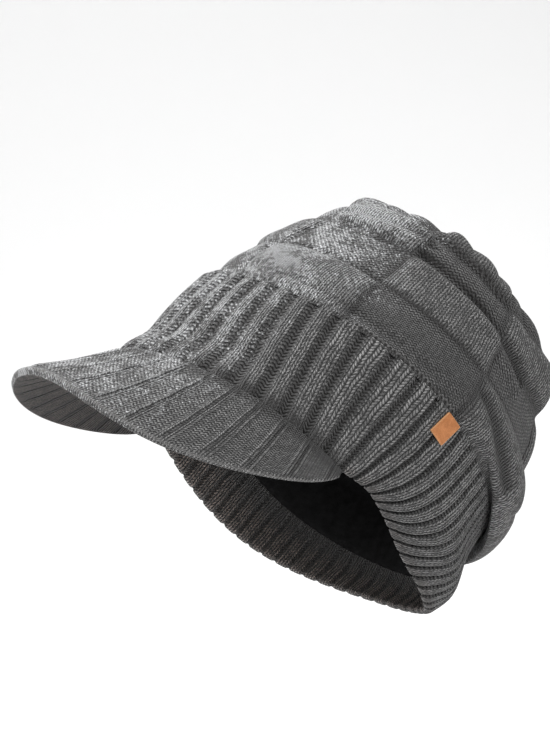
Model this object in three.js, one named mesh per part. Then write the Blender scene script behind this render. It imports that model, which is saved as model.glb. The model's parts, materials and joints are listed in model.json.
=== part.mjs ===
import * as THREE from 'three';

// A knitted beanie with a peak, in millimetres, as it is worn: +Z is up and the peak points along -Y.
// It is worked out in the band's own frame, with the hem near z = 0, and then leaned back as on a head.

// Driving dimensions
const WORN_LEAN = 49.4; // degrees that the band leans back on the head
const HEM_WIDTH = 169.5; // side to side, outside the ribs
const HEM_LENGTH = 199.5; // front to back, outside the ribs
const BAND_TOP_WIDTH = 167;
const BAND_TOP_LENGTH = 192.5;
const BAND_HEIGHT = 54.5;
const BAND_WALL = 4.8; // double knit, outer rib crest to inner rib crest
const RIB_COUNT = 54;
const RIB_DEPTH = 1.5;
const INNER_RIB_DEPTH = 0.8;
const RIB_LEAN = 8.5; // degrees round the band that a rib near the temples leans forwards
const FRONT_ROLL = 3; // how far the band bulges over the root of the peak
const HEM_FRONT_DROP = 12.5; // the hem dips in front, where the peak is sewn
const PEAK_CORNER = 75; // degrees round the band from the front to each end of the peak
const PEAK_REACH = 110; // from the corners forward to the middle of the edge
const PEAK_DROOP = 54.6; // from the corners down to the middle of the edge, in the band's frame
const PEAK_SIDE_SAG = 8.8; // further sag of the edge half way to each corner
const PEAK_DISH = 1; // the top of the peak dips between root and edge
const PEAK_THICKNESS = 5;
const PEAK_TIP_THICKNESS = 3.6;
const PEAK_RIDGES = 18;
const PEAK_RIDGE_HEIGHT = 0.7;
const CROWN_HEIGHT = 94.5; // above the band's top
const CROWN_WALL = 3;
const BLOCKS_ROUND = 8; // knit and purl blocks of the basketweave, in turn, round each ring
const KNIT_PUFF = 1.7; // how far a knit block stands proud
const PURL_SINK = 0.6;
const FOLD_DEPTH = 3; // of a full fold of the crown
const GATHER_DEPTH = 1.2;
const GATHERS_ROUND = 24;
const ROLL_OUT = 8.5; // the roll of loose fabric over the back of the band
const ROLL_DROP = 16.5;
const FRONT_TUCK = 5; // the crown steps back from the band's top edge in front
const LINING_WALL = 2;
const LINING_START = 0.46; // share of the band's height where the lining begins
const LINING_EASE = 4; // room between the lining and the crown's wall
const TAG_LENGTH = 14.5;
const TAG_WIDTH = 10;
const TAG_THICKNESS = 1.3;
const TAG_TURN = 92.5; // degrees round the band from the front to the tag, on the wearer's left
const SEWN_GAP = 0.3; // between pieces that are sewn together
const HEAD_SEAT_BACK = -53.7; // where the top of the head meets the crown's inside, in the band's frame
const HEAD_SEAT_HEIGHT = 122.8;

// Heights of the hem and of the band's top edge round the head, as waves whose sizes are shares of BAND_HEIGHT
const HEM_WAVES = [
  { waves: 1, share: 0.025 },
  { waves: 2, share: 0.095 },
  { waves: 3, share: -0.066 },
];
const TOP_WAVES = [
  { waves: 1, share: 0.017 },
  { waves: 2, share: -0.096 },
];

// The band's section: height as a share of BAND_HEIGHT, depth as a share of BAND_WALL from the outer crest inwards
const BAND_SECTION = [
  { height: 0, depth: 0.3, ribs: 0.5 },
  { height: 0.035, depth: 0, ribs: 1 },
  { height: 0.17, depth: 0, ribs: 1 },
  { height: 0.32, depth: 0, ribs: 1 },
  { height: 0.62, depth: 0, ribs: 1 },
  { height: 0.93, depth: 0.04, ribs: 1 },
  { height: 1, depth: 0.4, ribs: 0.6 },
  { height: 0.985, depth: 0.9, ribs: -0.5 },
  { height: 0.72, depth: 1, ribs: -1 },
  { height: 0.46, depth: 1, ribs: -1 },
  { height: 0.04, depth: 1, ribs: -1 },
  { height: 0, depth: 0.7, ribs: -0.4 },
];

// Front bulge and dent of the band: how far out, as a share of FRONT_ROLL, at heights of the band
const FRONT_BULGES = [
  { height: 0.14, spread: 0.14, out: 1 },
  { height: 0.36, spread: 0.1, out: -0.3 },
  { height: 0.72, spread: 0.22, out: 0.35 },
];

// The crown's profile from the band up to the apex. reach is a share of the band's top loop, rise of CROWN_HEIGHT.
// rollOut and rollDrop, shares of ROLL_OUT and ROLL_DROP, say where the loose fabric goes at the back.
const CROWN_ROWS = [
  { reach: 0.985, rise: 0.003, rollOut: 0, rollDrop: 0 },
  { reach: 0.997, rise: 0.03, rollOut: 0.12, rollDrop: 0.06 },
  { reach: 1.005, rise: 0.05, rollOut: 0.14, rollDrop: 0.5 },
  { reach: 1.01, rise: 0.08, rollOut: 0.5, rollDrop: 0.98 },
  { reach: 1.01, rise: 0.115, rollOut: 0.95, rollDrop: 0.86 },
  { reach: 1.005, rise: 0.155, rollOut: 1.06, rollDrop: 0.44 },
  { reach: 0.99, rise: 0.2, rollOut: 0.72, rollDrop: 0.08 },
  { reach: 0.965, rise: 0.26, rollOut: 0.12, rollDrop: 0 },
  { reach: 0.93, rise: 0.34, rollOut: 0, rollDrop: 0 },
  { reach: 0.885, rise: 0.44, rollOut: 0, rollDrop: 0 },
  { reach: 0.82, rise: 0.57, rollOut: 0, rollDrop: 0 },
  { reach: 0.75, rise: 0.71, rollOut: 0, rollDrop: 0 },
  { reach: 0.64, rise: 0.83, rollOut: 0, rollDrop: 0 },
  { reach: 0.48, rise: 0.92, rollOut: 0, rollDrop: 0 },
  { reach: 0.26, rise: 0.98, rollOut: 0, rollDrop: 0 },
  { reach: 0, rise: 1, rollOut: 0, rollDrop: 0 },
];

// Levels of the seams between the rings of blocks
const RING_LEVELS = [0, 0.51, 0.67, 0.78, 0.9, 1];
const ROLL_TOP = 0.34; // level where the roll ends and the blocks begin to show

// Folds, dents and lobes of the crown: each runs along the wall through its two or three places, given as degrees round
// the head and level up the crown. spread is a share of CROWN_HEIGHT and out a share of FOLD_DEPTH, negative in a groove.
const CROWN_FOLDS = [
  { turns: [49, 78, 107], levels: [0.648, 0.64, 0.61], spread: 0.055, out: 0.8 }, // rolled lip over the left temple
  { turns: [47, 78, 109], levels: [0.694, 0.686, 0.655], spread: 0.034, out: -1 },
  { turns: [5, 26, 48], levels: [0.7, 0.716, 0.735], spread: 0.03, out: -0.7 }, // seam over the forehead
  { turns: [8, 27, 46], levels: [0.672, 0.686, 0.7], spread: 0.04, out: 0.45 },
  { turns: [-6, 19, 44], levels: [0.465, 0.517, 0.515], spread: 0.03, out: -0.55 },
  { turns: [93, 105, 119], levels: [0.41, 0.31, 0.29], spread: 0.045, out: -1.2 }, // crease above the roll
  { turns: [126, 132, 140], levels: [0.74, 0.69, 0.62], spread: 0.17, out: 1.2 }, // lobe behind the left ear
  { turns: [-52, -80, -104], levels: [0.65, 0.642, 0.62], spread: 0.055, out: 0.7 },
  { turns: [-50, -80, -106], levels: [0.694, 0.686, 0.66], spread: 0.034, out: -0.85 },
  { turns: [-95, -108, -122], levels: [0.4, 0.32, 0.3], spread: 0.045, out: -0.9 },
  { turns: [150, 163, 168], levels: [0.38, 0.52, 0.72], spread: 0.045, out: -0.9 }, // slack at the back
  { turns: [196, 188, 192], levels: [0.4, 0.56, 0.74], spread: 0.05, out: -0.8 },
  { turns: [176, 178, 180], levels: [0.45, 0.58, 0.72], spread: 0.08, out: 0.7 },
  { turns: [215, 224, 222], levels: [0.42, 0.56, 0.7], spread: 0.045, out: -0.7 },
];

// The lining above the band: shares of the band's top loop and of CROWN_HEIGHT
const LINING_ROWS = [
  { reach: 0.985, rise: 0.06 },
  { reach: 0.95, rise: 0.24 },
  { reach: 0.87, rise: 0.44 },
  { reach: 0.74, rise: 0.65 },
  { reach: 0.55, rise: 0.81 },
  { reach: 0.3, rise: 0.9 },
];

const AROUND_BAND = RIB_COUNT * 3;
const AROUND_CROWN = 72;
const AROUND_LINING = 36;
const LOOP_SQUARENESS = 0.97;

const radians = THREE.MathUtils.degToRad;
const mix = THREE.MathUtils.lerp;
const smooth = THREE.MathUtils.smoothstep;

// A point on a slightly squared ellipse: 0 is the front and the turn goes towards the wearer's left
function loopPoint(turn, width, length) {
  const across = Math.sign(Math.sin(turn)) * Math.abs(Math.sin(turn)) ** LOOP_SQUARENESS;
  const along = Math.sign(Math.cos(turn)) * Math.abs(Math.cos(turn)) ** LOOP_SQUARENESS;
  return new THREE.Vector2((width / 2) * across, (-length / 2) * along);
}

// The outward direction of that ellipse
function loopNormal(turn, width, length) {
  return new THREE.Vector2(Math.sin(turn) / width, -Math.cos(turn) / length).normalize();
}

function waveHeight(turn, table) {
  return BAND_HEIGHT * table.reduce((sum, row) => sum + row.share * Math.cos(row.waves * turn), 0);
}

// 1 in the middle of the front and 0 at the corners of the peak and behind them
function frontShare(turn) {
  const wrapped = Math.atan2(Math.sin(turn), Math.cos(turn));
  const share = Math.abs(wrapped) / radians(PEAK_CORNER);
  return share < 1 ? Math.cos((share * Math.PI) / 2) : 0;
}

// The crease where the band meets the top of the peak, and the hem hidden below it
function creaseHeight(turn) {
  return waveHeight(turn, HEM_WAVES) - HEM_FRONT_DROP * frontShare(turn);
}

function rootThickness(turn) {
  return mix(PEAK_TIP_THICKNESS, PEAK_THICKNESS, frontShare(turn));
}

function hemHeight(turn) {
  return creaseHeight(turn) - (frontShare(turn) > 0 ? (PEAK_THICKNESS + 1) * frontShare(turn) ** 0.5 : 0);
}

function topHeight(turn) {
  return BAND_HEIGHT + waveHeight(turn, TOP_WAVES);
}

// Ribs near the temples lean forwards as they rise
function leanedTurn(turn, height) {
  const wrapped = Math.atan2(Math.sin(turn), Math.cos(turn));
  const leaning = Math.abs(wrapped) < Math.PI / 1.7 ? Math.sin(1.7 * wrapped) : 0;
  return turn - radians(RIB_LEAN) * leaning * height;
}

function frontBulge(turn, height) {
  const front = Math.max(0, Math.cos(turn * 0.5)) ** 6;
  const sum = FRONT_BULGES.reduce(
    (total, row) => total + row.out * Math.exp(-(((height - row.height) / row.spread) ** 2)),
    0,
  );
  return FRONT_ROLL * front * sum;
}

// A point of the band: height from 0 at the hem to 1 at the top, depth inwards from the outer rib crest
function bandPoint(turn, height, depth) {
  const upper = leanedTurn(turn, 1);
  const spot = loopPoint(turn, HEM_WIDTH, HEM_LENGTH).lerp(loopPoint(upper, BAND_TOP_WIDTH, BAND_TOP_LENGTH), height);
  const outward = loopNormal(leanedTurn(turn, height), HEM_WIDTH, HEM_LENGTH);
  spot.addScaledVector(outward, frontBulge(Math.atan2(Math.sin(turn), Math.cos(turn)), height) - depth);
  return new THREE.Vector3(spot.x, spot.y, mix(hemHeight(turn), topHeight(upper), height));
}

// 1 in the groove between two ribs, 0 on a rib's crest
function ribGroove(turn) {
  return Math.abs(Math.cos((turn * RIB_COUNT) / 2)) ** 4;
}

// A skin through rings of points, closed as a ring of rings or with a pole or a cap at each end
function skin(rings, first, last) {
  const count = rings[0].length;
  const points = rings.flat();
  const faces = [];
  const links = first ? rings.length - 1 : rings.length;
  for (let ring = 0; ring < links; ring += 1) {
    const here = ring * count;
    const there = ((ring + 1) % rings.length) * count;
    for (let spot = 0; spot < count; spot += 1) {
      const next = (spot + 1) % count;
      faces.push([here + spot, here + next, there + next], [here + spot, there + next, there + spot]);
    }
  }
  if (first) {
    const end = (rings.length - 1) * count;
    points.push(first, last);
    for (let spot = 0; spot < count; spot += 1) {
      const next = (spot + 1) % count;
      faces.push([points.length - 2, next, spot], [points.length - 1, end + spot, end + next]);
    }
  }
  const volume = faces.reduce((sum, [a, b, c]) => sum + points[a].dot(points[b].clone().cross(points[c])), 0);
  const outward = volume > 0 ? faces : faces.map(([a, b, c]) => [a, c, b]);
  const geometry = new THREE.BufferGeometry().setFromPoints(points);
  geometry.setIndex(outward.flat());
  geometry.computeVertexNormals();
  return geometry;
}

function middle(points) {
  return points.reduce((sum, point) => sum.add(point), new THREE.Vector3()).divideScalar(points.length);
}

function turns(count) {
  return Array.from({ length: count }, (_, step) => (step * 2 * Math.PI) / count);
}

// Ribbed band: the section of BAND_SECTION carried round the head, its ribs cut into both faces
function ribBand() {
  const rings = BAND_SECTION.map((row) => turns(AROUND_BAND).map((turn) => {
    const cut = row.ribs > 0 ? RIB_DEPTH * row.ribs : INNER_RIB_DEPTH * row.ribs;
    return bandPoint(turn, row.height, BAND_WALL * row.depth + cut * ribGroove(turn));
  }));
  return skin(rings);
}

// The edge of the peak, from -1 at the right corner through 0 at the middle to 1 at the left corner
function peakEdge(share) {
  const angle = (share * Math.PI) / 2;
  const corner = loopPoint(radians(PEAK_CORNER), HEM_WIDTH, HEM_LENGTH);
  const cosine = Math.max(Math.cos(angle), 0);
  return new THREE.Vector3(
    corner.x * Math.sign(share) * Math.abs(Math.sin(angle)) ** 0.92,
    corner.y - PEAK_REACH * cosine ** 1.25,
    creaseHeight(radians(PEAK_CORNER)) - PEAK_DROOP * cosine ** 0.71 - PEAK_SIDE_SAG * Math.sin(2 * angle) ** 2,
  );
}

// The line where the top of the peak meets the band, just outside the rib crests
function peakRoot(share) {
  const turn = share * radians(PEAK_CORNER);
  const height = (creaseHeight(turn) - hemHeight(turn)) / (topHeight(turn) - hemHeight(turn));
  return bandPoint(turn, height, -SEWN_GAP);
}

// The top face of the peak: out from 0 at the root to 1 at the edge, dished a little in between
function peakTop(share, out) {
  const up = new THREE.Vector3(0, -Math.sin(radians(WORN_LEAN)), Math.cos(radians(WORN_LEAN)));
  const dish = PEAK_DISH * Math.sin(Math.PI * out) * Math.cos((share * Math.PI) / 2);
  return peakRoot(share).lerp(peakEdge(share), out).addScaledVector(up, -dish);
}

function surfaceNormal(surface, a, b, step) {
  const alongA = surface(a + step, b).sub(surface(a - step, b));
  const alongB = surface(a, b + step).sub(surface(a, b - step));
  return alongA.cross(alongB).normalize();
}

// Height of the paired ridges on the peak, at a place from 0 to 1 across the room of one pair
const RIDGE_STEPS = [
  { place: -0.28, height: 0 },
  { place: -0.13, height: 1 },
  { place: 0, height: 0.1 },
  { place: 0.13, height: 1 },
  { place: 0.28, height: 0 },
];
const PEAK_TIP = 0.985; // share of the way to the corner where the peak's ends are cut
const PEAK_TOP_STEPS = [0, 0.22, 0.45, 0.68, 0.88];
const PEAK_UNDER_STEPS = [0.85, 0.5, 0.2];

// One section of the peak from root to edge and back underneath
function peakSection(share, ridge) {
  const turn = share * radians(PEAK_CORNER);
  const thick = rootThickness(turn);
  const normalAt = (out) => surfaceNormal(peakTop, share * 0.98, out, 0.004).negate();
  const lift = (out) => PEAK_RIDGE_HEIGHT * ridge * smooth(out, 0, 0.2);
  const top = PEAK_TOP_STEPS.map((out) => peakTop(share, out).addScaledVector(normalAt(out), lift(out)));
  const nose = peakTop(share, 1).addScaledVector(normalAt(0.95), -thick / 2);
  const under = PEAK_UNDER_STEPS.map((out) => peakTop(share, out).addScaledVector(normalAt(out), -thick));
  const root = peakRoot(share).add(new THREE.Vector3(0, 0, -thick));
  const rim = peakTop(share, 0.975).addScaledVector(normalAt(0.95), -0.1 * thick);
  return [...top, rim, nose, ...under, root];
}

function peak() {
  const spacing = 2 / PEAK_RIDGES;
  const shares = Array.from({ length: PEAK_RIDGES }, (_, index) => RIDGE_STEPS.map((row) => (
    { share: -1 + (index + 0.5 + row.place) * spacing, ridge: row.height }
  ))).flat();
  const sections = [{ share: -PEAK_TIP, ridge: 0 }, ...shares, { share: PEAK_TIP, ridge: 0 }]
    .map((row) => peakSection(row.share, row.ridge));
  return skin(sections, middle(sections[0]), middle(sections.at(-1)));
}

const crownOutline = new THREE.SplineCurve(CROWN_ROWS.map((row) => new THREE.Vector2(row.reach, row.rise)));
const rollOutline = new THREE.SplineCurve(CROWN_ROWS.map((row) => new THREE.Vector2(row.rollOut, row.rollDrop)));

// How much of the roll hangs over the band: none in front, all of it round the back
function rollShare(turn) {
  return smooth(-Math.cos(turn), 0.2, 0.75);
}

// How far the crown steps back behind the band's top edge, at a share of its height
function frontTuck(turn, rise) {
  return FRONT_TUCK * smooth(Math.cos(turn), 0, 0.7) * smooth(rise, 0, 0.06) * (1 - smooth(rise, 0.4, 0.85));
}

// The outside of the crown: level from 0 at the band to 1 at the apex
function crownPoint(turn, level) {
  const outline = crownOutline.getPoint(THREE.MathUtils.clamp(level, 0, 1));
  const roll = rollOutline.getPoint(THREE.MathUtils.clamp(level, 0, 1)).multiplyScalar(rollShare(turn));
  const spot = loopPoint(turn, BAND_TOP_WIDTH * outline.x, BAND_TOP_LENGTH * outline.x);
  spot.addScaledVector(loopNormal(turn, BAND_TOP_WIDTH, BAND_TOP_LENGTH), ROLL_OUT * roll.x - frontTuck(turn, outline.y));
  const base = mix(topHeight(turn), BAND_HEIGHT, smooth(level, 0.2, 1));
  return new THREE.Vector3(spot.x, spot.y, base + SEWN_GAP + CROWN_HEIGHT * outline.y - ROLL_DROP * roll.y);
}

function crownNormal(turn, level) {
  const alongTurn = crownPoint(turn + 0.01, level).sub(crownPoint(turn - 0.01, level));
  const alongLevel = crownPoint(turn, Math.min(level + 0.004, 1)).sub(crownPoint(turn, Math.max(level - 0.004, 0)));
  return alongTurn.cross(alongLevel).normalize();
}

// How far a block of the basketweave stands out of the wall: knit blocks puff up, purl blocks sink
function blockRelief(turn, level) {
  const ring = Math.max(RING_LEVELS.findLastIndex((seam) => level >= seam), 0);
  if (ring > 3 || level < ROLL_TOP) return 0;
  const low = Math.max(RING_LEVELS[ring], ROLL_TOP);
  const up = (level - low) / (RING_LEVELS[ring + 1] - low);
  const place = (turn * BLOCKS_ROUND) / (2 * Math.PI);
  const along = place - Math.floor(place);
  const pillow = (1 - (2 * up - 1) ** 4) * (1 - (2 * along - 1) ** 6);
  const knit = (((Math.floor(place) + ring) % 2) + 2) % 2 === 0;
  return pillow * (knit ? KNIT_PUFF : -PURL_SINK);
}

// Small gathers that run over the seam between the third and the fourth ring
function gatherRelief(turn, level) {
  const near = Math.exp(-(((level - RING_LEVELS[3]) / 0.05) ** 2));
  return GATHER_DEPTH * near * Math.cos(turn * GATHERS_ROUND);
}

const foldLines = CROWN_FOLDS.map((fold) => ({
  path: fold.turns.map((degrees, index) => crownPoint(radians(degrees), fold.levels[index])),
  spread: fold.spread * CROWN_HEIGHT,
  out: fold.out * FOLD_DEPTH,
}));

// Depth of the folds at a point of the wall: each fades as a bell with the distance from its path
function foldRelief(point) {
  return foldLines.reduce((sum, fold) => {
    const away = Math.min(...fold.path.slice(1).map((end, index) => (
      new THREE.Line3(fold.path[index], end).closestPointToPoint(point, true, new THREE.Vector3()).distanceTo(point)
    )));
    return sum + fold.out * Math.exp(-((away / fold.spread) ** 2));
  }, 0);
}

// A point of the creased wall, so far inside its outer face
function crownWall(turn, level, inside) {
  const point = crownPoint(turn, level);
  const relief = blockRelief(turn, level) + gatherRelief(turn, level) + foldRelief(point);
  return point.addScaledVector(crownNormal(turn, level), relief - inside);
}


const ROLL_LEVELS = [0, 0.05, 0.1, 0.15, 0.2, 0.25, 0.3, ROLL_TOP, 0.42];
const OUTER_LEVELS = [
  ...ROLL_LEVELS,
  ...[1, 2, 3].flatMap((ring) => [RING_LEVELS[ring] - 0.025, RING_LEVELS[ring], RING_LEVELS[ring] + 0.03]),
  0.59, 0.9,
].sort((a, b) => b - a);
const INNER_LEVELS = [...ROLL_LEVELS, 0.55, 0.67, 0.8, 0.92];

function crown() {
  const outer = OUTER_LEVELS.map((level) => turns(AROUND_CROWN).map((turn) => crownWall(turn, level, 0)));
  const inner = INNER_LEVELS.map((level) => turns(AROUND_CROWN).map((turn) => crownWall(turn, level, CROWN_WALL)));
  const apex = crownPoint(0, 1);
  return skin([...outer, ...inner], apex, apex.clone().add(new THREE.Vector3(0, 0, -CROWN_WALL)));
}

// The lining: its outside lies against the band's inner ribs and rises clear of the crown
function liningPoint(turn, row, inset) {
  if (row.height !== undefined) return bandPoint(turn, row.height, BAND_WALL + SEWN_GAP + inset);
  const ease = 2 * (BAND_WALL + SEWN_GAP + LINING_EASE * smooth(row.rise, 0, 0.3) + inset);
  const spot = loopPoint(turn, BAND_TOP_WIDTH * row.reach - ease, BAND_TOP_LENGTH * row.reach - ease);
  spot.addScaledVector(loopNormal(turn, BAND_TOP_WIDTH, BAND_TOP_LENGTH), -frontTuck(turn, row.rise));
  const base = mix(topHeight(turn), BAND_HEIGHT, smooth(row.rise, 0, 0.8));
  return new THREE.Vector3(spot.x, spot.y, base + CROWN_HEIGHT * row.rise - inset * smooth(row.rise, 0.3, 0.9));
}

function lining() {
  const rows = [LINING_START, mix(LINING_START, 0.98, 0.5), 0.98].map((height) => ({ height }));
  rows.push(...LINING_ROWS);
  const ring = (inset) => (row) => turns(AROUND_LINING).map((turn) => liningPoint(turn, row, inset));
  const outer = rows.map(ring(0)).reverse();
  const inner = rows.map(ring(LINING_WALL));
  const topRise = LINING_ROWS.at(-1).rise + 0.02;
  const apex = new THREE.Vector3(0, 0, BAND_HEIGHT + CROWN_HEIGHT * topRise);
  return skin([...outer, ...inner], apex, apex.clone().add(new THREE.Vector3(0, 0, -LINING_WALL)));
}

// The tag: a bent rectangle of leather lying on the rib crests, its long side along the ribs
function leatherTag() {
  const steps = [-1, -1 / 3, 1 / 3, 1];
  const halfTurn = TAG_WIDTH / BAND_TOP_LENGTH;
  const halfHeight = TAG_LENGTH / 2 / BAND_HEIGHT;
  const centre = 0.97 - halfHeight;
  const ring = (height, lift) => steps.map((step) => (
    bandPoint(radians(TAG_TURN) + step * halfTurn, centre + height * halfHeight, -SEWN_GAP - lift)
  ));
  const sections = steps.map((height) => [...ring(height, 0), ...ring(height, TAG_THICKNESS).reverse()]);
  return skin(sections, middle(sections[0]), middle(sections.at(-1)));
}

const WOOL_GREY = 0x5c5b5d;
const finishes = {
  bandKnit: new THREE.MeshStandardMaterial({ color: WOOL_GREY, roughness: 0.95, metalness: 0 }),
  peakKnit: new THREE.MeshStandardMaterial({ color: 0x6a686a, roughness: 0.95, metalness: 0 }),
  crownKnit: new THREE.MeshStandardMaterial({ color: 0x555457, roughness: 0.95, metalness: 0 }),
  fleece: new THREE.MeshStandardMaterial({ color: 0x151415, roughness: 1, metalness: 0 }),
  leather: new THREE.MeshStandardMaterial({ color: 0xc07c42, roughness: 0.6, metalness: 0 }),
};

function piece(name, geometry, material) {
  const mesh = new THREE.Mesh(geometry, material);
  mesh.name = name;
  return mesh;
}

const beanie = new THREE.Group();
beanie.add(
  piece('rib_band', ribBand(), finishes.bandKnit),
  piece('peak', peak(), finishes.peakKnit),
  piece('crown', crown(), finishes.crownKnit),
  piece('lining', lining(), finishes.fleece),
  piece('leather_tag', leatherTag(), finishes.leather),
);
beanie.rotation.x = -radians(WORN_LEAN);
const seat = new THREE.Vector3(0, HEAD_SEAT_BACK, HEAD_SEAT_HEIGHT).applyEuler(beanie.rotation);
beanie.position.copy(seat.negate());

const worn = new THREE.Group();
worn.add(beanie);
worn.updateMatrixWorld(true);
export default worn;
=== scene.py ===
import json
import math

import bpy
import numpy as np
from bpy.props import FloatProperty, FloatVectorProperty, PointerProperty
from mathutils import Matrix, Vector

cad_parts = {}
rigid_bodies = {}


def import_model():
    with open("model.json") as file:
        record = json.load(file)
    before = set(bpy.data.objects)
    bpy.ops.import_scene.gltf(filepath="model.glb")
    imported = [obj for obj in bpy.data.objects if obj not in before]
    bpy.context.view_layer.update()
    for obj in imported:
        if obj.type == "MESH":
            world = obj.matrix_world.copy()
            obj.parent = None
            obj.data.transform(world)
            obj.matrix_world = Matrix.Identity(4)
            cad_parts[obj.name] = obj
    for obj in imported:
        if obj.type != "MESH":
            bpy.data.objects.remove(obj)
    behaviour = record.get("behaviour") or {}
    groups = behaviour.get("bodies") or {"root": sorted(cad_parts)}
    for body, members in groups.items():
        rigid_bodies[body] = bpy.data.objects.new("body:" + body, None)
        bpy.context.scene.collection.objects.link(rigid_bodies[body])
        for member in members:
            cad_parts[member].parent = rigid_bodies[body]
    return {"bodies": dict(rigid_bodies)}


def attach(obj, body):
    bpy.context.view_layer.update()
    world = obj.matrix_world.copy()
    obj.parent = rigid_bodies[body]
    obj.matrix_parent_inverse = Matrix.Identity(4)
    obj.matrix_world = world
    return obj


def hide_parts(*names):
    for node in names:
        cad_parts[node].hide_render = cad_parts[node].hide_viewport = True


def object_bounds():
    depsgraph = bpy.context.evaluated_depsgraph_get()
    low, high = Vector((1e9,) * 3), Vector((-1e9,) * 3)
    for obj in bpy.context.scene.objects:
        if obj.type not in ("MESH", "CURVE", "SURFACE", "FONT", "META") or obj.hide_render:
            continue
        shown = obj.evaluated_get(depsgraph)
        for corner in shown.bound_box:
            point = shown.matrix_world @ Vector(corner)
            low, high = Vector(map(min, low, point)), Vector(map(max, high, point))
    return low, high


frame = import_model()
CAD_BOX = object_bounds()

bl_info = {
    "name": "Visor beanie",
    "version": (1, 0, 0),
    "blender": (4, 5, 0),
    "location": "View3D > Sidebar > Beanie",
    "description": "Knitted beanie with a peak, a basketweave crown, a fleece lining and a leather tag",
    "category": "Object",
}

# Shapes are worked out in millimetres in the band's own frame, with the hem near z = 0, the peak towards -Y
# and the wearer's left at +X. place_on_head leans them back and brings them to metres round the head seat.
WORN_LEAN = math.radians(49.4)
HEAD_SEAT = (0.0, -53.7, 122.8)
HEM_WIDTH = 169.5
HEM_LENGTH = 199.5
BAND_TOP_WIDTH = 167.0
BAND_TOP_LENGTH = 192.5
BAND_HEIGHT = 54.5
BAND_WALL = 4.8
RIB_COUNT = 59
RIB_LEAN = math.radians(8.5)
FIRST_GROOVE = 0.16
KNIT_WIDTH = 5.9
HEM_RAISE = 6.3
BACK_BULGE = 6.0
FRONT_ROLL = 3.0
HEM_FRONT_DROP = 12.5
PEAK_CORNER = math.radians(75)
PEAK_REACH = 110.0
PEAK_DROOP = 54.6
PEAK_SIDE_SAG = 8.8
PEAK_DISH = 1.0
PEAK_THICKNESS = 5.0
PEAK_TIP_THICKNESS = 3.6
PEAK_ROOM = 6.0
PEAK_TIP = 0.985
PEAK_RIDGES = 18
UNDER_RIBS = 27
CROWN_HEIGHT = 94.5
CROWN_WALL = 2.6
CROWN_END = 0.985
CROWN_TUCK = 2.2
BLOCKS_ROUND = 8
GATHERS_ROUND = 17
GATHER_START = math.radians(60)
GATHER_LEVEL = 0.82
GROOVE_LEVEL = 0.768
ROLL_OUT = 8.5
ROLL_DROP = 16.5
ROLL_TOP = 0.34
FRONT_TUCK = 5.0
LINING_WALL = 2.0
LINING_START = 0.46
LINING_TOP = 0.98
LINING_EASE = 4.0
TAG_LENGTH = 12.8
TAG_WIDTH = 9.2
TAG_TURN = math.radians(88.7)
TAG_LEAN = math.radians(4)
TAG_TOP = 0.97
SEWN_GAP = 0.3
LOOP_SQUARENESS = 0.97

# Waves of the hem and of the band's top edge: times round the head, share of the band's height
HEM_WAVES = ((1, 0.025), (2, 0.095), (3, -0.066))
TOP_WAVES = ((1, 0.017), (2, -0.096))

# Roll of the band in front: height, spread, and how far out as a share of FRONT_ROLL
FRONT_BULGES = ((0.14, 0.14, 1.0), (0.36, 0.1, -0.3), (0.72, 0.22, 0.35))

# How many ribs there are in each degree of turn, and how far they lean as a share of RIB_LEAN
RIB_DENSITY = np.array((
    (-180, 0.16), (-130, 0.2), (-95, 0.195), (-75, 0.15), (-60, 0.133), (-45, 0.118), (-30, 0.107),
    (0, 0.109), (30, 0.107), (45, 0.118), (60, 0.133), (72, 0.16), (80, 0.26), (87, 0.42), (93, 0.33),
    (100, 0.22), (114, 0.175), (140, 0.16), (180, 0.16),
))
RIB_LEANING = np.array((
    (-180, 0), (-106, 0), (-95, -0.3), (-75, -0.8), (-53, -1), (-40, -0.92), (-20, -0.56), (0, 0),
    (20, 0.56), (40, 0.92), (53, 1), (62, 0.75), (75, -0.2), (83, -0.85), (88, -1.55), (94, -2.2),
    (98, -2.4), (104, -2.4), (114, -2), (140, -1), (165, -0.3), (180, 0),
))

# The crown's profile from the band to the apex: reach, rise, and how far the loose roll goes out and down
CROWN_ROWS = np.array((
    (0.985, 0.003, 0, 0),
    (0.997, 0.03, 0.12, 0.06),
    (1.005, 0.05, 0.14, 0.5),
    (1.01, 0.08, 0.5, 0.98),
    (1.01, 0.115, 0.95, 0.86),
    (1.005, 0.155, 1.06, 0.44),
    (0.99, 0.2, 0.72, 0.08),
    (0.965, 0.26, 0.12, 0),
    (0.93, 0.34, 0, 0),
    (0.885, 0.44, 0, 0),
    (0.82, 0.57, 0, 0),
    (0.75, 0.71, 0, 0),
    (0.64, 0.83, 0, 0),
    (0.48, 0.92, 0, 0),
    (0.26, 0.98, 0, 0),
    (0, 1, 0, 0),
))
LINING_ROWS = np.array(((0.985, 0.06), (0.95, 0.24), (0.87, 0.44), (0.74, 0.65), (0.55, 0.81), (0.3, 0.9)))

# Seams between the rings of blocks, and the wales in one block of each ring
RING_LEVELS = np.array((0, 0.51, 0.67, 0.78, 0.9, 1))
RING_WALES = np.array((26, 22, 19, 15, 10))
RING_EDGES = RING_LEVELS[1:5]

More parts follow.
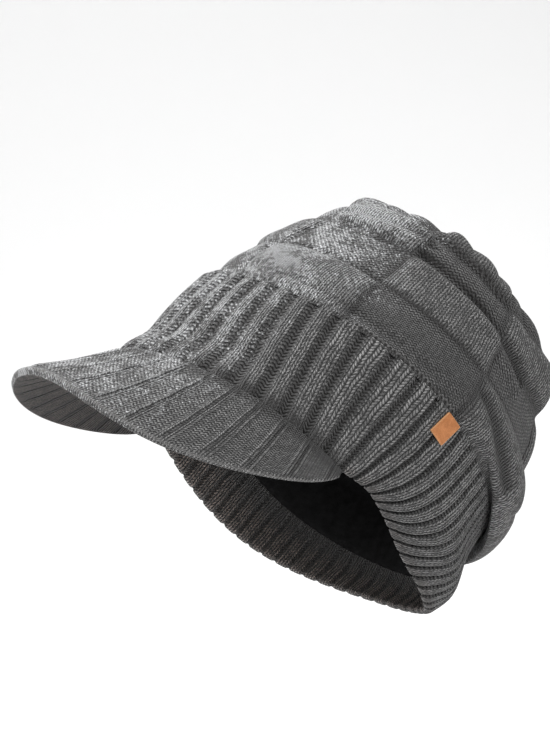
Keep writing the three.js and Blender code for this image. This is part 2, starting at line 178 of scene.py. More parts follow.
# Folds of the crown: turns in degrees, levels, spread as a share of the crown's height, depth in millimetres
CROWN_FOLDS = (
    ((49, 78, 107), (0.648, 0.64, 0.61), 0.05, 2.6),
    ((47, 78, 109), (0.69, 0.682, 0.652), 0.026, -4.2),
    ((5, 26, 48), (0.7, 0.716, 0.735), 0.024, -2.4),
    ((8, 27, 46), (0.672, 0.686, 0.7), 0.036, 1.5),
    ((-6, 19, 44), (0.465, 0.517, 0.515), 0.022, -1.7),
    ((93, 105, 119), (0.41, 0.31, 0.29), 0.04, -3.8),
    ((126, 132, 140), (0.74, 0.69, 0.62), 0.17, 3.6),
    ((104, 116, 128), (0.84, 0.8, 0.74), 0.12, 3.6),
    ((-52, -80, -104), (0.65, 0.642, 0.62), 0.05, 2.3),
    ((-50, -80, -106), (0.69, 0.682, 0.656), 0.026, -3.6),
    ((-95, -108, -122), (0.4, 0.32, 0.3), 0.04, -3.0),
    ((150, 163, 168), (0.38, 0.52, 0.72), 0.04, -2.9),
    ((196, 188, 192), (0.4, 0.56, 0.74), 0.045, -2.6),
    ((176, 178, 180), (0.45, 0.58, 0.72), 0.08, 2.1),
    ((215, 224, 222), (0.42, 0.56, 0.7), 0.04, -2.3),
)

FROST_FROM = (-0.3, -0.42, 0.856)
WALES_PER_RIB = 4
WALES_PER_RIDGE = 6
COURSE = 1.95

COLUMNS_PER_RIB = 16
COLUMNS_PER_RIDGE = 20
COLUMNS_PER_BLOCK = 48
CROWN_ROWS_UP = 120


def smooth(value, low, high):
    """3 s^2 - 2 s^3 where s is the share of the way from low to high, kept from 0 to 1."""
    share = np.clip((value - low) / (high - low), 0, 1)
    return share * share * (3 - 2 * share)


def mix(first, second, share):
    """first + (second - first) times share."""
    return first + (second - first) * share


def bell(value, spread):
    """e to the minus (value / spread) squared."""
    return np.exp(-((value / spread) ** 2))


def wrapped(turn):
    """The same turn, from -180 to 180 degrees."""
    return np.arctan2(np.sin(turn), np.cos(turn))


def loop_point(turn, width, length):
    """Squared ellipse: x = width/2 sin^k, y = -length/2 cos^k, with signs kept; turn 0 is the front."""
    across = np.sign(np.sin(turn)) * np.abs(np.sin(turn)) ** LOOP_SQUARENESS
    along = np.sign(np.cos(turn)) * np.abs(np.cos(turn)) ** LOOP_SQUARENESS
    return np.stack(np.broadcast_arrays(width / 2 * across, -length / 2 * along), -1)


def loop_normal(turn, width, length):
    """Unit vector along (sin / width, -cos / length)."""
    normal = np.stack(np.broadcast_arrays(np.sin(turn) / width, -np.cos(turn) / length), -1)
    return normal / np.linalg.norm(normal, axis=-1, keepdims=True)


def waves(turn, table):
    """The band's height times the sum of share cos(k turn)."""
    return BAND_HEIGHT * sum(share * np.cos(k * turn) for k, share in table)


def front_share(turn):
    """cos of the turn brought from the peak's corner to 90 degrees, and 0 behind the corners."""
    share = np.abs(wrapped(turn)) / PEAK_CORNER
    return np.where(share < 1, np.cos(np.minimum(share, 1) * math.pi / 2), 0)


def crease_height(turn):
    """Hem waves less the drop in front: where the band meets the top of the peak."""
    return waves(turn, HEM_WAVES) - HEM_FRONT_DROP * front_share(turn)


def root_thickness(turn):
    """Thickness of the peak at its root, from the tips to the middle."""
    return mix(PEAK_TIP_THICKNESS, PEAK_THICKNESS, front_share(turn))


def hem_height(turn):
    """The crease height, less the room that the peak's thickness takes below it, and raised at the sides."""
    aside = np.degrees(wrapped(turn))
    raised = smooth(aside, 72, 86) * (1 - 0.42 * smooth(aside, 88, 110)) * (1 - 0.5 * smooth(aside, 118, 140))
    raised = raised * (1 - smooth(aside, 150, 180))
    room = PEAK_ROOM * np.sqrt(np.maximum(front_share(turn), 0))
    return crease_height(turn) - room + HEM_RAISE * raised


def top_height(turn):
    """The band's height plus the waves of its top edge."""
    return BAND_HEIGHT + waves(turn, TOP_WAVES)


def leaned_turn(turn, height):
    """turn - lean leaning(turn) (1 - (1 - height)^bend): ribs bend near the hem, then run straight."""
    angle = wrapped(turn)
    bend = mix(1.3, 3.0, smooth(np.degrees(angle), 60, 85))
    leaning = np.interp(np.degrees(angle), RIB_LEANING[:, 0], RIB_LEANING[:, 1])
    return turn - RIB_LEAN * leaning * (1 - np.maximum(1 - height, 0) ** bend)


def bulge_out(turn, height):
    """A roll in front, cos(turn/2)^6 times a sum of bells over the height, and one bell round the back."""
    front = np.maximum(0, np.cos(wrapped(turn) * 0.5)) ** 6
    back = smooth(-np.cos(turn), 0.15, 0.6) * bell(height - 0.3, 0.28)
    roll = FRONT_ROLL * front * sum(out * bell(height - at, spread) for at, spread, out in FRONT_BULGES)
    return roll + BACK_BULGE * back


def wall_point(leaned, height, depth):
    """Between the hem loop and the top loop at one turn, moved inwards by depth and out by the bulges."""
    share = np.asarray(height)[..., None]
    hem = loop_point(leaned, HEM_WIDTH, HEM_LENGTH)
    spot = mix(hem, loop_point(leaned, BAND_TOP_WIDTH, BAND_TOP_LENGTH), share)
    outward = loop_normal(leaned, HEM_WIDTH, HEM_LENGTH)
    spot = spot + outward * (bulge_out(leaned, height) - depth)[..., None]
    rise = mix(hem_height(leaned), top_height(leaned), height)
    return np.concatenate([spot, np.broadcast_to(rise, spot.shape[:-1])[..., None]], -1)


def band_point(turn, height, depth):
    """The same along a leaned rib that leaves the hem at turn."""
    return wall_point(leaned_turn(turn, height), height, depth)


def curve_through(rows, share):
    """Catmull-Rom curve through the rows, equal steps of share between them."""
    last = len(rows) - 1
    place = np.clip(share, 0, 1) * last
    start = np.minimum(np.floor(place).astype(int), last - 1)
    t = (place - start)[..., None]
    before, a, b, after = (rows[np.clip(start + k, 0, last)] for k in (-1, 0, 1, 2))
    slope_a = (b - before) / 2
    slope_b = (after - a) / 2
    cubic = 2 * a - 2 * b + slope_a + slope_b
    square = 3 * b - 3 * a - 2 * slope_a - slope_b
    return cubic * t**3 + square * t**2 + slope_a * t + a


def roll_share(turn):
    """How much of the roll hangs over the band: none in front, all of it round the back."""
    return smooth(-np.cos(turn), 0.2, 0.75)


def front_tuck(turn, rise):
    """How far the crown steps back behind the band's top edge in front."""
    return FRONT_TUCK * smooth(np.cos(turn), 0, 0.7) * smooth(rise, 0, 0.06) * (1 - smooth(rise, 0.4, 0.85))


def crown_point(turn, level):
    """The band's top loop scaled by reach, lifted by rise, with the roll out and down at the back."""
    turn, level = np.broadcast_arrays(turn, level)
    outline = curve_through(CROWN_ROWS, level)
    reach, rise = outline[..., 0], outline[..., 1]
    share = roll_share(turn)
    out = ROLL_OUT * outline[..., 2] * share - front_tuck(turn, rise)
    spot = loop_point(turn, BAND_TOP_WIDTH * reach, BAND_TOP_LENGTH * reach)
    spot = spot + loop_normal(turn, BAND_TOP_WIDTH, BAND_TOP_LENGTH) * out[..., None]
    base = mix(top_height(turn), BAND_HEIGHT, smooth(level, 0.2, 1))
    height = base + SEWN_GAP + CROWN_HEIGHT * rise - ROLL_DROP * outline[..., 3] * share
    return np.concatenate([spot, height[..., None]], -1)


def surface_normal(surface, a, b, step_a, step_b):
    """Unit cross product of the surface's two central differences."""
    along_a = surface(a + step_a, b) - surface(a - step_a, b)
    along_b = surface(a, b + step_b) - surface(a, b - step_b)
    normal = np.cross(along_a, along_b)
    return normal / np.maximum(np.linalg.norm(normal, axis=-1, keepdims=True), 1e-9)


def away_from_line(points, ends):
    """Least distance from each point to a line of straight stretches between the ends."""
    least = np.full(points.shape[:-1], np.inf)
    for start, end in zip(ends[:-1], ends[1:]):
        stretch = end - start
        share = np.clip(((points - start) @ stretch) / (stretch @ stretch), 0, 1)
        least = np.minimum(least, np.linalg.norm(points - start - share[..., None] * stretch, axis=-1))
    return least


def leaned_back(vectors):
    """Turns vectors about X by the worn lean."""
    cosine, sine = math.cos(WORN_LEAN), math.sin(WORN_LEAN)
    return vectors @ np.array(((1, 0, 0), (0, cosine, sine), (0, -sine, cosine))).T


def place_on_head(points):
    """Leans the points back, moves the head seat to the origin and turns millimetres into metres."""
    return leaned_back(points - np.array(HEAD_SEAT)) * 0.001


def make_mesh(name, points, uv=None, poles=None, ends_open=False):
    """A skin over a grid of points whose columns close; rows close too, or end in two poles.

    ends_open keeps the columns open and closes the rows, with a fan at each end column.
    uv is one pair for each corner of each face, as (rows, columns, 4, 2)."""
    rows, columns = points.shape[:2]
    index = np.arange(rows * columns).reshape(rows, columns)
    under = index if poles is None else index[:-1]
    above = np.roll(index, -1, axis=0) if poles is None else index[1:]
    if ends_open:
        corners = np.stack([under[:, :-1], under[:, 1:], above[:, 1:], above[:, :-1]], -1)
    else:
        corners = np.stack([under, np.roll(under, -1, 1), np.roll(above, -1, 1), above], -1)
    quads = corners.reshape(-1, 4)
    vertices = points.reshape(-1, 3)
    fans = np.zeros((0, 3), int)
    if poles is not None:
        first, last = len(vertices), len(vertices) + 1
        vertices = np.vstack([vertices, poles])
        low, high = index[0], index[-1]
        fans = np.vstack([
            np.stack([np.full(columns, first), np.roll(low, -1), low], -1),
            np.stack([np.full(columns, last), high, np.roll(high, -1)], -1),
        ])
    if ends_open:
        first, last = len(vertices), len(vertices) + 1
        vertices = np.vstack([vertices, points[:, 0].mean(0), points[:, -1].mean(0)])
        left, right = index[:, 0], index[:, -1]
        fans = np.vstack([
            np.stack([np.full(rows, first), left, np.roll(left, -1)], -1),
            np.stack([np.full(rows, last), np.roll(right, -1), right], -1),
        ])
    a, b, c, d = (vertices[quads[:, k]] for k in range(4))
    volume = np.einsum("ij,ij->", a, np.cross(b, c)) + np.einsum("ij,ij->", a, np.cross(c, d))
    volume += np.einsum("ij,ij->", vertices[fans[:, 0]], np.cross(vertices[fans[:, 1]], vertices[fans[:, 2]]))
    pairs = np.zeros((len(quads), 4, 2)) if uv is None else uv.reshape(-1, 4, 2)
    if volume < 0:
        quads, pairs, fans = quads[:, ::-1], pairs[:, ::-1], fans[:, ::-1]
    near = np.repeat(pairs[:1, :1] if uv is None else pairs[-1:, -1:], 3, axis=1)
    fan_pairs = np.broadcast_to(near, (len(fans), 3, 2))
    mesh = bpy.data.meshes.new(name)
    mesh.vertices.add(len(vertices))
    mesh.vertices.foreach_set("co", vertices.astype(np.float32).ravel())
    corners = np.concatenate([quads.ravel(), fans.ravel()]).astype(np.int32)
    sizes = np.concatenate([np.full(len(quads), 4), np.full(len(fans), 3)]).astype(np.int32)
    mesh.loops.add(len(corners))
    mesh.loops.foreach_set("vertex_index", corners)
    mesh.polygons.add(len(sizes))
    mesh.polygons.foreach_set("loop_start", (np.cumsum(sizes) - sizes).astype(np.int32))
    mesh.polygons.foreach_set("use_smooth", np.ones(len(sizes), bool))
    mesh.update(calc_edges=True)
    layer = mesh.uv_layers.new(name="stitch")
    layer.uv.foreach_set("vector", np.concatenate([pairs.ravel(), fan_pairs.ravel()]).astype(np.float32))
    mesh.validate()
    return mesh


def corner_uv(across, up):
    """Corner pairs for make_mesh from values at the grid lines."""
    u0, u1 = across[:-1], across[1:]
    v0, v1 = up[:-1], up[1:]
    u = np.stack(np.broadcast_arrays(u0, u1, u1, u0), -1)[None]
    v = np.stack(np.broadcast_arrays(v0, v0, v1, v1), -1)[:, None]
    return np.stack(np.broadcast_arrays(u, v), -1)


def set_values(mesh, name, values):
    """Stores one number for each vertex; poles and end points beyond the grid get the mean."""
    flat = np.asarray(values, float).ravel()
    missing = len(mesh.vertices) - len(flat)
    full = np.concatenate([flat, np.full(missing, flat.mean() if missing else 0)])
    mesh.attributes.new(name, "FLOAT", "POINT").data.foreach_set("value", full.astype(np.float32))


def frost_on(normal, low, high):
    """Share of frost where the unstitched surface faces the side that the frost fell from."""
    return smooth(leaned_back(normal) @ np.array(FROST_FROM), low, high)


def finish_piece(name, mesh, material, node):
    """Makes the object, gives it its material and ties it to the frame."""
    piece = bpy.data.objects.new(name, mesh)
    bpy.context.scene.collection.objects.link(piece)
    mesh.materials.append(material)
    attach(piece, BODY)
    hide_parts(node)
    return piece


BODY = sorted(frame["bodies"])[0]


class Wire:
    """A shader value. Arithmetic on wires and numbers adds Math nodes."""

    def __init__(self, tree, socket=None):
        self.tree = tree
        self.socket = socket

    def node(self, kind, settings, sockets, out=0):
        """Adds a node: its settings first, then the values or links of its sockets. Gives the output out."""
        node = self.tree.nodes.new(kind)
        for name, value in settings.items():
            setattr(node, name, value)
        for key, value in sockets.items():
            if isinstance(value, Wire):
                self.tree.links.new(value.socket, node.inputs[key])
            else:
                node.inputs[key].default_value = value
        return Wire(self.tree, node.outputs[out] if len(node.outputs) else None)

    def math(self, operation, *values):
        return self.node("ShaderNodeMath", {"operation": operation}, dict(enumerate(values)))

    def place(self):
        """Object coordinates."""
        return self.node("ShaderNodeTexCoord", {}, {}, "Object")

    def value(self, name):
        """A number stored on the piece's vertices."""
        return self.node("ShaderNodeAttribute", {"attribute_name": name}, {}, "Fac")

    def other(self, out):
        """Another output of the same node."""
        return Wire(self.tree, self.socket.node.outputs[out])

    def __add__(self, value):
        return self.math("ADD", self, value)

    def __sub__(self, value):
        return self.math("SUBTRACT", self, value)

    def __rsub__(self, value):
        return self.math("SUBTRACT", value, self)

    def __mul__(self, value):
        return self.math("MULTIPLY", self, value)

    def __pow__(self, value):
        return self.math("POWER", self, value)

    def __abs__(self):
        return self.math("ABSOLUTE", self)

    __radd__ = __add__
    __rmul__ = __mul__


def stepped(wire, value, low, high):
    """Smooth step of a shader value from low to high."""
    sockets = {0: value, 1: low, 2: high, 3: 0.0, 4: 1.0}
    return wire.node("ShaderNodeMapRange", {"interpolation_type": "SMOOTHSTEP"}, sockets)


def noise(wire, place, size, detail=2.0, roughness=0.5):
    """Noise from 0 to 1 whose blobs are about size metres across."""
    sockets = {"Vector": place, "Scale": 1 / size, "Detail": detail, "Roughness": roughness}
    return wire.node("ShaderNodeTexNoise", {}, sockets)


def blend(wire, share, first, second):
    """Colour from first to second by share."""
    return wire.node("ShaderNodeMix", {"data_type": "RGBA"}, {0: share, 6: first, 7: second}, 2)


def times(wire, colour, grey):
    """A colour times a number."""
    settings = {"data_type": "RGBA", "blend_type": "MULTIPLY"}
    return wire.node("ShaderNodeMix", settings, {0: 1.0, 6: colour, 7: grey}, 2)


def new_material(name):
    """An empty node material, with its display colour left grey."""
    material = bpy.data.materials.new(name)
    material.use_nodes = True
    material.node_tree.nodes.clear()
    return material, Wire(material.node_tree)


def surface_output(wire, colour, roughness, height, distance, uniform):
    """Principled shader with a Bump from height, and numbers that are the same all over."""
    bump = wire.node("ShaderNodeBump", {}, {"Strength": 1.0, "Distance": distance, "Height": height})
    sockets = {"Base Color": colour, "Roughness": roughness, "Normal": bump, **uniform}
    shader = wire.node("ShaderNodeBsdfPrincipled", {}, sockets)
    wire.node("ShaderNodeOutputMaterial", {}, {"Surface": shader})


def knit_height(u, v):
    """Plain stitches: two slanted legs in each wale, rounded across and parted by narrow gaps."""
    across = abs(u.math("FRACT", u) - 0.5)
    along = u.math("FRACT", v - across * 2.1)
    leg = 1 - abs(across * 4 - 1) ** 1.7
    strand = 1 - abs(along * 2 - 1) ** 1.8
    return leg * (0.25 + 0.75 * strand)


def purl_height(u, v):
    """Purl bumps: wavy bars of half moons, one row to each course."""
    wave = u.math("COSINE", u * math.tau)
    along = u.math("FRACT", v + wave * 0.27)
    return (1 - abs(along * 2 - 1) ** 1.4) * (0.5 + 0.26 * wave * wave)


def knit_material(name):
    """Melange yarn in knit and purl stitches, with painted shade in the stitch gaps, grooves and creases, a
    warm tint painted into the shaded places, a painted highlight on the peak's rim, and frost on top. Reads
    the piece's stitch map and values.
    """
    yarn = bpy.context.scene.beanie_yarn
    material, wire = new_material(name)
    place = wire.place()
    stitch_map = wire.node("ShaderNodeUVMap", {"uv_map": "stitch"}, {})
    stitch = wire.node("ShaderNodeSeparateXYZ", {}, {0: stitch_map})
    purl, frost, shade, shade_warmth = (wire.value(key) for key in ("purl", "frost", "shade", "shade_warmth"))
    drift = noise(wire, place, 0.009, 1.0)
    u = stitch + (drift - 0.5) * 0.5
    v = stitch.other(1) + (noise(wire, place, 0.007, 1.0) - 0.5) * 0.9
    fibre = noise(wire, place, 0.0005, 3.0, 0.7)
    knit = knit_height(u, v)
    bars = purl_height(u, v)
    height = wire.node("ShaderNodeMix", {}, {0: purl, 2: knit, 3: bars})
    height = height * 0.9 + fibre * 0.3 - 0.1
    cell = wire.node("ShaderNodeCombineXYZ", {}, {0: u.math("FLOOR", u * 2), 1: v.math("FLOOR", v), 2: 0.0})
    ply = wire.node("ShaderNodeTexWhiteNoise", {}, {"Vector": cell})
    melange = noise(wire, place, 0.0016, 3.0, 0.75)
    tone_share = stepped(wire, ply * 0.4 + melange * 0.6, 0.2, 0.8)
    colour = blend(wire, tone_share, tuple(yarn.dark), tuple(yarn.light))
    # Painted shade: the low parts of the stitch relief, the gaps between stitches, take the near-black gap
    # colour
    colour = blend(wire, stepped(wire, height, 0.28, 0.74), tuple(yarn.gap), colour)
    patches = noise(wire, place, 0.03, 2.0)
    colour = times(wire, colour, (0.82 + 0.36 * patches) * (0.7 + 0.6 * fibre))
    # Painted shade: a warm tint in the shaded places, on the inner face, the hem's curl and the peak's
    # underside
    colour = blend(wire, shade_warmth, colour, times(wire, colour, tuple(yarn.shade_warmth)))
    # Painted shade: the shade value darkens the yarn towards the shadow colour in grooves, creases, hollows
    # and undersides
    colour = blend(wire, stepped(wire, shade, 0.0, 1.0) * 0.94, colour, tuple(yarn.shadow))
    # Painted highlight: a negative shade value lightens the yarn towards the pale colour, on the peak's rim
    colour = blend(wire, stepped(wire, 0 - shade, 0.0, 1.0) * 0.6, colour, tuple(yarn.pale))
    crystals = noise(wire, place, 0.0017, 4.0, 0.8)
    drifts = stepped(wire, noise(wire, place, 0.016, 3.0, 0.6), 0.36, 0.64)
    cover = frost * (0.25 + 1.0 * drifts) * yarn.frost
    raised = stepped(wire, height, 0.3, 0.7)
    lying = wire.math("MINIMUM", cover, 1.3) * 0.13
    flecks = stepped(wire, crystals + lying, 0.58, 0.62) * stepped(wire, cover, 0.02, 0.2)
    veil = cover * raised * stepped(wire, fibre, 0.35, 0.65) * 0.3
    stray = stepped(wire, crystals, 0.71, 0.75) * raised
    whiteness = wire.math("MINIMUM", flecks * (0.25 + 0.7 * raised) + veil + stray * 0.6, 0.95)
    colour = blend(wire, whiteness, colour, tuple(yarn.ice))
    relief = height + flecks * 0.35
    uniform = {"Sheen Weight": 0.25, "Sheen Roughness": 0.6, "Specular IOR Level": 0.15}
    surface_output(wire, colour, 0.95 - flecks * 0.15, relief, 0.0024, uniform)
    return material


def fleece_material(name):
    """Black brushed fleece: soft clumps and fine fibres."""
    lining = bpy.context.scene.beanie_lining
    material, wire = new_material(name)
    place = wire.place()
    clumps = noise(wire, place, 0.004, 3.0, 0.6)
    fibres = noise(wire, place, 0.0006, 3.0, 0.7)
    share = clumps * 0.6 + fibres * 0.4
    colour = blend(wire, stepped(wire, share, 0.3, 0.75), tuple(lining.deep), tuple(lining.nap))
    surface_output(wire, colour, 0.93 + fibres * 0.07, share, 0.0008, {"Specular IOR Level": 0.15})
    return material


def leather_material(name):
    """Tan leather: fine grain, mottled dye and paler worn edges. Reads the tag's edge value."""
    tag = bpy.context.scene.beanie_tag
    material, wire = new_material(name)
    place = wire.place()
    edge = wire.value("edge")
    mottle = noise(wire, place, 0.003, 3.0, 0.6)
    grain = wire.node("ShaderNodeTexVoronoi", {}, {"Vector": place, "Scale": 1 / 0.0006})
    colour = blend(wire, stepped(wire, mottle, 0.3, 0.7), tuple(tag.dye), tuple(tag.worn))
    colour = times(wire, colour, 0.86 + grain * 0.22)
    colour = blend(wire, edge * 0.65, colour, tuple(tag.cut_edge))
    relief = grain * 0.6 + mottle * 0.4
    surface_output(wire, colour, 0.5 + mottle * 0.2, relief, 0.00015, {"Specular IOR Level": 0.4})
    return material


def rib_columns(per_rib):
    """Turns of the grid's columns, and where each lies in its rib: 0 and 4 in grooves, 1 to 3 on knit wales.

    The ribs follow RIB_DENSITY; the knit wales keep their width and the purl ones take up the rest."""
    degrees = np.arange(-180, 181)
    density = np.interp(degrees, RIB_DENSITY[:, 0], RIB_DENSITY[:, 1])
    passed = np.concatenate([[0], np.cumsum((density[1:] + density[:-1]) / 2)])
    density, passed = (values * RIB_COUNT / passed[-1] for values in (density, passed))
    rib = np.arange(RIB_COUNT)[:, None] + (passed[180] - FIRST_GROOVE) % 1
    middle = np.interp((rib + 0.5) % RIB_COUNT, passed, degrees)
    width = math.radians(1) * HEM_WIDTH * 0.54 / np.interp(middle, degrees, density)
    knit = np.minimum(KNIT_WIDTH / 2 / width, 0.36)
    wale = np.arange(per_rib)[None] * WALES_PER_RIB / per_rib
    outside = np.minimum(wale, WALES_PER_RIB - wale)
    away = np.where(outside < 1, 0.5 - outside * (0.5 - knit), (2 - outside) * knit)
    turn = np.interp((rib + 0.5 + np.sign(wale - 2) * away) % RIB_COUNT, passed, degrees)
    return np.radians(turn).ravel(), (wale + 0 * rib).ravel()


def band_section():
    """Rows round the band's wall: height, depth share, and weights of outer ribs, inner ribs and notch."""
    arc = np.linspace(0, math.pi, 13)
    lip = 0.045
    outer = np.linspace(lip, 1 - lip, 40)[:-1]
    inner = np.linspace(1 - lip, lip, 20)[1:]
    bottom_out = np.linspace(math.pi / 2, 0, 7)[:-1]
    bottom_in = np.linspace(math.pi, math.pi / 2, 7)[1:-1]
    swing = np.concatenate([bottom_out, np.zeros(len(outer)), arc, np.full(len(inner), math.pi), bottom_in])
    rolled_out, rolled_in = (lip - lip * np.sin(bottom) for bottom in (bottom_out, bottom_in))
    height = np.concatenate([rolled_out, outer, 1 - lip + lip * np.sin(arc), inner, rolled_in])
    depth = (1 - np.cos(swing)) / 2
    side = np.where(height > 0.5, -1.0, 1.0)
    outside, inside = (np.maximum(facing, 0) ** 0.5 for facing in (np.cos(swing), -np.cos(swing)))
    return height, depth, outside, inside, side * np.sin(swing)


class BEANIE_OT_rib_band(bpy.types.Operator):
    """Make the ribbed band"""

    bl_idname = "beanie.rib_band"
    bl_label = "Rib Band"

    def execute(self, context):
        """Section rows carried round the head; each rib is round-topped, with smooth sides to its grooves."""
        sizes = context.scene.beanie_band
        turn, wale = rib_columns(COLUMNS_PER_RIB)
        height, depth, outer, inner, notch = (row[:, None] for row in band_section())
        groove = smooth(np.abs(wale - 2), 0.75, 1.9)[None]
        cut = (sizes.rib_depth * outer - sizes.inner_rib_depth * inner) * 1000 * groove
        height = height + notch * 0.012 * groove
        points = band_point(turn[None], height, BAND_WALL * depth + cut)
        length = np.linalg.norm(np.diff(points[:, 300], axis=0, append=points[:1, 300]), axis=-1)
        courses = np.concatenate([[0], np.cumsum(length)]) / COURSE
        wales = np.arange(len(turn) + 1) * WALES_PER_RIB / 16
        mesh = make_mesh("rib_band", place_on_head(points), corner_uv(wales, courses))
        ones = np.ones_like(points[..., 0])
        set_values(mesh, "purl", smooth(np.abs(wale - 2), 0.95, 1.15) * ones)
        # Painted shade: grooves between the ribs, the crease above the peak, the underside of the hem's curl,
        # and the inner face darkening up towards the lining
        above = points[..., 2] - crease_height(turn)
        crease = 1.3 * bell(above, 3.2) + 0.45 * bell(above - 3, 9)
        crease = crease * smooth(front_share(turn), 0.0, 0.2) * outer
        behind = 1 - smooth(front_share(turn), 0, 0.15)
        under_curl_shade = 0.5 * behind * (1 - smooth(height, 0.0, 0.09)) * outer
        inside_shade = inner * smooth(height, 0.08, LINING_START)
        dark = groove * (0.85 * outer + 0.5 * inner) + crease + under_curl_shade + inside_shade
        set_values(mesh, "shade", np.clip(dark, 0, 1) * ones)
        # Painted shade: warm tint on the inner face and under the hem's curl
        set_values(mesh, "shade_warmth", np.clip(inner + under_curl_shade, 0, 1) * ones)

        def plain(a, b):
            return band_point(a, b, 0 * a + 0 * b)

        normal = surface_normal(plain, turn[None], np.clip(height, 0.01, 0.99), 0.02, 0.01)
        set_values(mesh, "frost", frost_on(normal, 0.42, 0.95) * outer * (1 - 0.4 * groove))
        piece = finish_piece("rib_band_knit", mesh, knit_material("rib_knit"), "rib_band")
        return {"FINISHED"}


def peak_edge(share):
    """Edge line: x grows as sin^0.92, y reaches out as cos^1.25, z droops as cos^0.71 and sags each side."""
    angle = share * math.pi / 2
    corner = loop_point(np.array(PEAK_CORNER), HEM_WIDTH, HEM_LENGTH)
    cosine = np.maximum(np.cos(angle), 0)
    droop = PEAK_DROOP * cosine**0.71 + PEAK_SIDE_SAG * np.sin(2 * angle) ** 2
    return np.stack([
        corner[0] * np.sign(share) * np.abs(np.sin(angle)) ** 0.92,
        corner[1] - PEAK_REACH * cosine**1.25,
        crease_height(np.array(PEAK_CORNER)) - droop,
    ], -1)


def peak_root(share):
    """The crease on the band, a sewn gap outside the rib crests."""
    turn = share * PEAK_CORNER
    height = (crease_height(turn) - hem_height(turn)) / (top_height(turn) - hem_height(turn))
    return band_point(turn, height, np.full_like(turn, -SEWN_GAP))


def peak_top(share, out):
    """Straight from root to edge, dished by sin(pi out) cos(angle)."""
    share, out = np.broadcast_arrays(np.asarray(share, float), np.asarray(out, float))
    up = np.array((0, -math.sin(WORN_LEAN), math.cos(WORN_LEAN)))
    dish = PEAK_DISH * np.sin(math.pi * out) * np.cos(share * math.pi / 2)
    return mix(peak_root(share), peak_edge(share), out[..., None]) - up * dish[..., None]


class BEANIE_OT_peak(bpy.types.Operator):
    """Make the knitted peak with its rounded edge"""

    bl_idname = "beanie.peak"
    bl_label = "Peak"

    def execute(self, context):
        """Sections from the root over the rounded edge and back underneath, from corner to corner.

        Pairs of narrow bells make the ridges on top; one bell for each rib cuts the grooves underneath."""
        sizes = context.scene.beanie_peak
        share = np.linspace(-PEAK_TIP, PEAK_TIP, PEAK_RIDGES * COLUMNS_PER_RIDGE + 1)[None]
        rim = np.linspace(0, math.pi, 11)[:, None]
        thick = root_thickness(share * PEAK_CORNER)
        reach = np.linalg.norm(peak_edge(share) - peak_root(share), axis=-1)
        inset = np.minimum(0.45, thick / 2 / reach)
        normal_share = share * 0.98
        top_out = np.linspace(0, 1, 46)[:-1, None] * (1 - inset)
        under_out = np.linspace(1, 0, 30)[1:, None] * (1 - inset)
        place = (share + 1) * PEAK_RIDGES / 2 % 1 - 0.5
        pair = bell(place - 0.1, 0.062) + bell(place + 0.1, 0.062)
        under_place = (share + 1) * UNDER_RIBS / 2 % 1 - 0.5
        slit = bell(np.abs(under_place) - 0.5, 0.1)
        ridge = sizes.ridge_height * 1000

        def normal_at(out):
            return -surface_normal(peak_top, normal_share, out, 0.004, 0.004)

        lift = ridge * pair * smooth(top_out, 0, 0.1) * (1 - 0.55 * smooth(top_out / (1 - inset), 0.93, 1))
        lift = lift - 0.5 * bell(place, 0.03) * smooth(top_out, 0, 0.2) * (1 - smooth(top_out, 0.85, 0.97))
        top = peak_top(share, top_out) + normal_at(top_out) * lift[..., None]
        edge_normal = normal_at(1 - inset)
        welt = 0.45 * bell(rim - 0.7, 0.3)
        round_out = 1 - inset + (inset + welt / reach) * np.sin(rim)
        drop = thick / 2 * (1 - np.cos(rim)) - welt
        edge = peak_top(share, round_out) - edge_normal * drop[..., None]
        cut = 0.7 * slit * smooth(under_out, 0, 0.15) * (1 - smooth(under_out, 0.93, 0.99))
        under = peak_top(share, under_out) - normal_at(under_out) * (thick - cut)[..., None]
        points = np.concatenate([top, edge, under])
        rows = len(points)
        length = np.linalg.norm(np.diff(points[:, points.shape[1] // 2], axis=0), axis=-1)
        courses = np.concatenate([[0], np.cumsum(length), [np.sum(length) + thick.max()]]) / COURSE
        wales = np.linspace(0, PEAK_RIDGES * WALES_PER_RIDGE, share.size)
        mesh = make_mesh("peak", place_on_head(points), corner_uv(wales, courses), ends_open=True)
        on_top = np.zeros((rows, 1))
        on_top[: len(top_out)] = 1
        below = np.zeros((rows, 1))
        below[len(top_out) + 7 :] = 1
        ones = np.ones((rows, share.size))
        set_values(mesh, "purl", smooth(np.abs(place), 0.16, 0.2) * on_top * ones)
        out = np.concatenate([top_out, np.ones_like(drop), under_out])
        # Painted shade: the crease at the root, a dark line between the ridges of each pair, lines in the
        # grooves underneath, and the whole underside
        crease = (1.3 * bell(out * reach, 3) + 0.45 * bell(out * reach, 9)) * on_top
        gap = 0.8 * bell(place, 0.035) * on_top * smooth(out, 0.0, 0.1) * (1 - smooth(out, 0.86, 0.98))
        under_groove_shade = slit * below * smooth(out, 0, 0.1)
        # Painted highlight: a pale band over the welt on the rounded rim, stored as negative shade
        pale = np.concatenate([0 * top_out, bell(rim - 0.75, 0.35) + 0 * share, 0 * under_out])
        set_values(mesh, "shade", np.clip(crease + gap + under_groove_shade + 0.58 * below - 0.8 * pale, -1, 1) * ones)
        # Painted shade: warm tint over the peak's underside
        set_values(mesh, "shade_warmth", below * ones)
        normal = -surface_normal(peak_top, normal_share, np.clip(out, 0.01, 0.98), 0.004, 0.004)
        fall = 1 - 0.8 * smooth(share, -0.1, 0.75)
        set_values(mesh, "frost", frost_on(normal, 0.25, 0.85) * fall * (1 - 0.5 * gap) * (1 - below))
        finish_piece("peak_knit", mesh, knit_material("peak_knit"), "peak")
        return {"FINISHED"}


